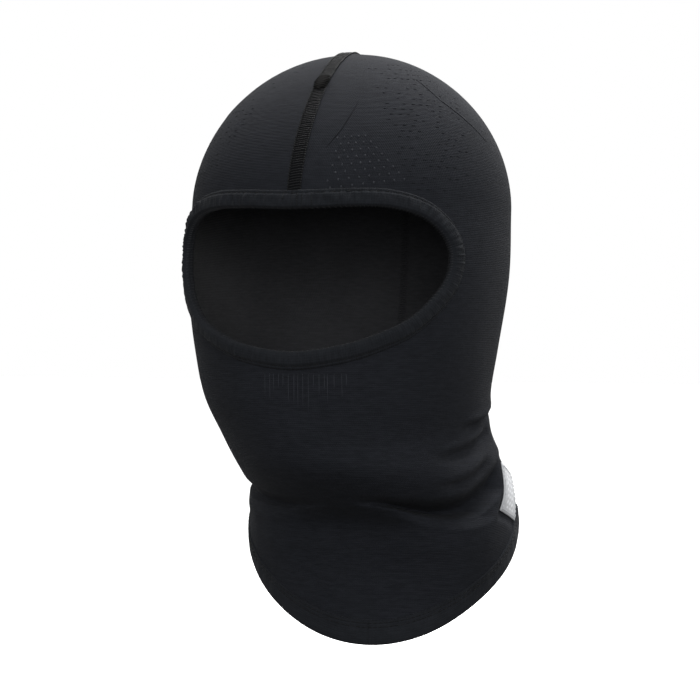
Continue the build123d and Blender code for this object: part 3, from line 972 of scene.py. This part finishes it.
def make_ribs():
    """Raised ribs of uneven length under the opening."""
    paths = []
    for k in range(RIBS):
        x = np.full(RIB_POINTS, -14 + 2.5 * k + RNG.normal(0, 0.3))
        foot = -80 - RNG.uniform(1, 16) * math.cos((k - 8) / 8)
        z = np.linspace(-74.5, foot, RIB_POINTS)
        sink = np.linspace(-0.02, -0.12, RIB_POINTS)
        paths.append(on_cloth(theta_of(x, z), along_of(z), sink))
    # lighter knit as painted sheen on the raised ribs
    tubes("knit_ribs", paths, RELIEF_SHEEN, radius=0.20, sides=5, flat=0.6)


panel = make_panel()
make_binding()
make_elastic()
make_binding_stitches()
make_seam()
make_bartack()
make_hem()
make_label()
make_label_stitches()
make_dots()
make_dashes()
make_lines()
make_ribs()


# ---------------------------------------------------------------- floor, light and camera
FLOOR_Z, FLOOR_HALF, FLOOR_POINTS = -0.42, 9.0, 9
# The room's light: its strength level with the hood, how fast it rises above and falls below,
# how much more comes from behind, and the least there is.
LEVEL_LIGHT, RISE, FALL, FROM_BEHIND, LEAST_LIGHT = 1.04, 0.36, 1.26, 0.4, 0.12
CAMERA_AZIMUTH, CAMERA_ELEVATION, CAMERA_DISTANCE = 18.0, 1.0, 0.900
AIM_Z, AIM_SIDE = -0.065, -0.0022  # it looks level at the lower edge of the face opening
LENS, SENSOR, CLIP_START = 87.94, 36, 0.05


def plain_stage():
    """A plain pale floor, well below the hood, that doesn't throw light up at it."""
    side = np.linspace(-FLOOR_HALF, FLOOR_HALF, FLOOR_POINTS)
    points = [(x, y, FLOOR_Z) for y in side for x in side]
    mesh = bpy.data.meshes.new("floor")
    mesh.from_pydata(points, [], grid_faces(FLOOR_POINTS, FLOOR_POINTS).tolist())
    obj = bpy.data.objects.new("floor", mesh)
    bpy.context.scene.collection.objects.link(obj)
    obj.visible_diffuse = False
    obj.visible_glossy = False
    material, graph = new_material("pale_floor")
    white = graph.node("ShaderNodeBsdfPrincipled", Roughness=0.9, Base_Color=(0.95, 0.95, 0.95, 1))
    graph.finish(white, "ShaderNodeOutputMaterial")
    mesh.materials.append(material)


def area_light(name, place, aim, size, power):
    """A round lamp at a place, turned to a point."""
    lamp = bpy.data.lights.new(name, "AREA")
    lamp.shape = "DISK"
    lamp.size = size
    lamp.energy = power
    obj = bpy.data.objects.new(name, lamp)
    obj.location = place
    obj.rotation_mode = "QUATERNION"
    obj.rotation_quaternion = (Vector(aim) - Vector(place)).to_track_quat("-Z", "Y")
    bpy.context.scene.collection.objects.link(obj)


def studio_light():
    """An even white room to look at, and soft light that comes from above and behind."""
    world = bpy.data.worlds.new("studio")
    bpy.context.scene.world = world
    world.use_nodes = True
    graph = Graph(world.node_tree)
    times, plus = graph.times, graph.plus
    y, z = graph.split(graph.node("ShaderNodeTexCoord").outputs["Generated"])[1:3]
    above = times(graph.op("MAXIMUM", z, 0.0), RISE)
    below = times(graph.op("MINIMUM", z, 0.0), FALL)
    glow = plus(plus(plus(above, below), times(y, FROM_BEHIND)), LEVEL_LIGHT)
    mixed = graph.node("ShaderNodeMix", B=1.0)  # the camera sees plain white
    seen = graph.node("ShaderNodeLightPath").outputs["Is Camera Ray"]
    graph.link(seen, mixed.inputs["Factor"])
    graph.link(graph.op("MAXIMUM", glow, LEAST_LIGHT), mixed.inputs["A"])
    shader = graph.node("ShaderNodeBackground", Color=(1, 1, 1, 1))
    graph.link(mixed.outputs["Result"], shader.inputs["Strength"])
    graph.finish(shader, "ShaderNodeOutputWorld")
    area_light("key", (0.12, 0.80, 1.30), aim=(0.0, 0.0, 0.0), size=1.3, power=82)
    area_light("fill", (0.38, -1.20, 0.16), aim=(0.0, 0.0, -0.05), size=0.6, power=10)


def make_camera():
    """The photograph's camera, from the front and a little to the wearer's left."""
    a, e = math.radians(CAMERA_AZIMUTH), math.radians(CAMERA_ELEVATION)
    back = Vector((math.sin(a) * math.cos(e), -math.cos(a) * math.cos(e), math.sin(e)))
    right = Vector((math.cos(a), math.sin(a), 0))
    data = bpy.data.cameras.new("camera")
    data.lens = LENS
    data.sensor_width = SENSOR
    data.clip_start = CLIP_START
    camera = bpy.data.objects.new("camera", data)
    camera.location = Vector((0, 0, AIM_Z)) + right * AIM_SIDE + back * CAMERA_DISTANCE
    camera.rotation_mode = "QUATERNION"
    camera.rotation_quaternion = (-back).to_track_quat("-Z", "Y")
    bpy.context.scene.collection.objects.link(camera)
    bpy.context.scene.camera = camera
    bpy.context.scene.view_settings.view_transform = "Standard"


plain_stage()
studio_light()
make_camera()
